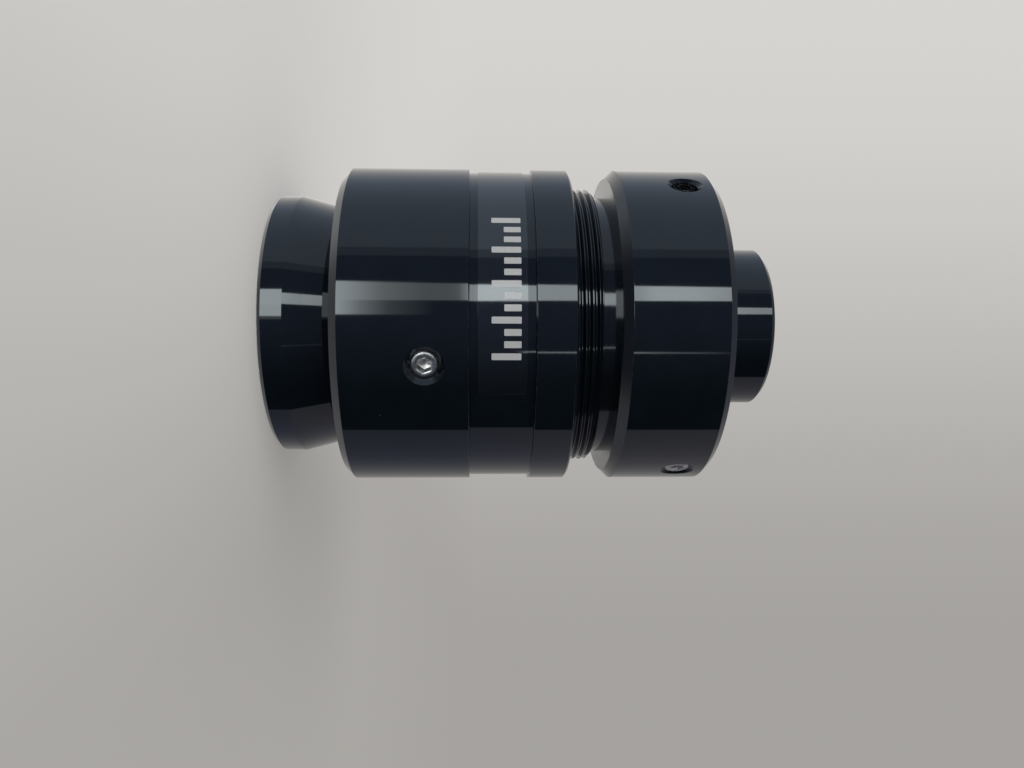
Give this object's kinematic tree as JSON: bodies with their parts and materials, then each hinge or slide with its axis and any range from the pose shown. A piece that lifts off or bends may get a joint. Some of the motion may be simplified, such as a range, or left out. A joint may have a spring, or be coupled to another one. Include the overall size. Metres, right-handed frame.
{
  "type": "microscope camera lens mount adapter",
  "caption": "Round black adapter with a dovetail foot, lens barrel, label band, screw-focusing clamp ring and plain camera nose.",
  "frame": {"origin": "centre of the dovetail foot's end face, on which the adapter stands", "axes": "+Z along the optical axis from the foot to the camera nose; -Y faces the viewer, and the barrel's lock screw lies 17 degrees from -Y towards +X"},
  "size_m": [0.05, 0.05, 0.0765],
  "materials": {
    "gloss_anodised": "gloss black anodised, turned",
    "thread_anodised": "black anodised, threaded",
    "matt_anodised": "matt black anodised",
    "label_film": "black film with pale marks",
    "screw_steel": "plain steel, slightly dull",
    "coated_glass": "polished, anti-reflection coated"
  },
  "bodies": {
    "barrel": {"dovetail_foot": "gloss_anodised", "foot_light_stop": "matt_anodised", "main_barrel": "gloss_anodised", "label_band": "label_film", "cell_lock_screw": "screw_steel", "lens_cell": "matt_anodised", "front_crown_lens": "coated_glass", "front_flint_lens": "coated_glass", "front_spacer": "matt_anodised", "aperture_stop": "matt_anodised", "rear_spacer": "matt_anodised", "rear_flint_lens": "coated_glass", "rear_crown_lens": "coated_glass", "lens_retaining_ring": "matt_anodised"},
    "nose": {"nose_tube": "gloss_anodised", "nose_light_stop": "matt_anodised"},
    "focus_ring": {"focus_sleeve": "thread_anodised", "clamp_ring": "gloss_anodised", "ring_screw_upper": "screw_steel", "ring_screw_lower": "screw_steel", "ring_screw_hidden": "screw_steel"}
  },
  "joints": [
    {"name": "focus_travel", "type": "slide", "parent": "barrel", "child": "nose", "axis": [0, 0, 1], "range_m": [-0.00601, 0.00301]},
    {"name": "focus_turn", "type": "hinge", "parent": "nose", "child": "focus_ring", "pos_m": [0, 0, 0.06], "axis": [0, 0, 1], "range_deg": [-2160, 1080]}
  ],
  "couplings": [
    {"joint": "focus_travel", "follows": "focus_turn", "m_per_rad": 0.00015915}
  ]
}
